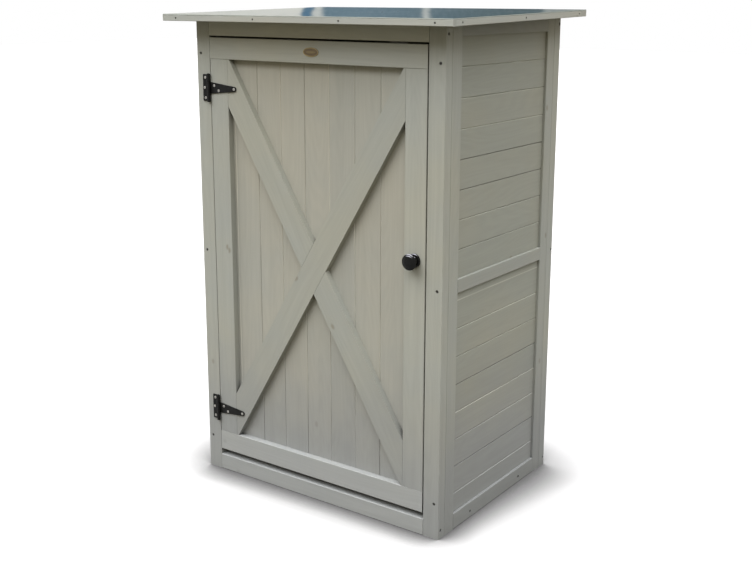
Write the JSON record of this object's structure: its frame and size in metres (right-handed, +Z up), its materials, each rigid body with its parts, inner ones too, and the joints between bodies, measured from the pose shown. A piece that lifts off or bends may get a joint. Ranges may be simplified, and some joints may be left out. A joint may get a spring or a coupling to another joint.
{
  "type": "garden storage cabinet",
  "caption": "Tall wooden garden cabinet with one framed and braced door on tee hinges, boarded side and back walls, a shelf, a floor and a metal-covered roof that falls to the front.",
  "frame": {"origin": "on the ground under the centre of the roof", "axes": "+Z up; the door faces -Y; +X to the right for someone who faces the door"},
  "size_m": [0.756, 0.564, 1.0915],
  "materials": {
    "painted_wood": "matt pale grey-green paint over softwood",
    "inner_wood": "thin matt paint over sawn softwood",
    "roof_sheet": "bare satin sheet, edges hemmed down",
    "hinge_black": "satin black coating on pressed steel",
    "zinc": "zinc plated",
    "knob_black": "glossy black lacquer on turned metal",
    "badge": "dull pressed brass",
    "catch_plastic": "moulded"
  },
  "bodies": {
    "cabinet": {"back_boards": "painted_wood", "back_bottom_rail": "painted_wood", "back_mid_rail": "painted_wood", "back_stile_left": "painted_wood", "back_stile_right": "painted_wood", "back_top_rail": "painted_wood", "catch_body": "catch_plastic", "catch_screws": "zinc", "floor_bearer_left": "inner_wood", "floor_bearer_middle": "inner_wood", "floor_bearer_right": "inner_wood", "floor_boards": "inner_wood", "frame_screws": "zinc", "front_header": "painted_wood", "front_sill": "painted_wood", "front_stile_left": "painted_wood", "front_stile_right": "painted_wood", "hinge_bottom_leaf": "hinge_black", "hinge_leaf_screws": "zinc", "hinge_pins": "hinge_black", "hinge_top_leaf": "hinge_black", "roof_deck_boards": "inner_wood", "roof_nails": "zinc", "roof_sheet": "roof_sheet", "roof_strip_back": "painted_wood", "roof_strip_front": "painted_wood", "roof_strip_left": "painted_wood", "roof_strip_right": "painted_wood", "shelf_boards": "inner_wood", "shelf_cleat_left": "inner_wood", "shelf_cleat_right": "inner_wood", "side_left_boards": "painted_wood", "side_left_bottom_rail": "painted_wood", "side_left_mid_rail": "painted_wood", "side_left_stile_back": "painted_wood", "side_left_stile_front": "painted_wood", "side_left_top_rail": "painted_wood", "side_right_boards": "painted_wood", "side_right_bottom_rail": "painted_wood", "side_right_mid_rail": "painted_wood", "side_right_stile_back": "painted_wood", "side_right_stile_front": "painted_wood", "side_right_top_rail": "painted_wood"},
    "door": {"catch_strike": "zinc", "door_badge": "badge", "door_boards": "painted_wood", "door_bottom_rail": "painted_wood", "door_brace_lower": "painted_wood", "door_brace_through": "painted_wood", "door_brace_upper": "painted_wood", "door_stile_left": "painted_wood", "door_stile_right": "painted_wood", "door_top_rail": "painted_wood", "hinge_bottom_strap": "hinge_black", "hinge_strap_screws": "zinc", "hinge_top_strap": "hinge_black", "knob": "knob_black", "knob_rose": "knob_black", "knob_screw": "zinc", "strike_screw": "zinc"}
  },
  "joints": [
    {"name": "door_hinge", "type": "hinge", "parent": "cabinet", "child": "door", "pos_m": [-0.293, -0.2318, 0.54], "axis": [0, 0, 1], "range_deg": [-180, 0]}
  ]
}
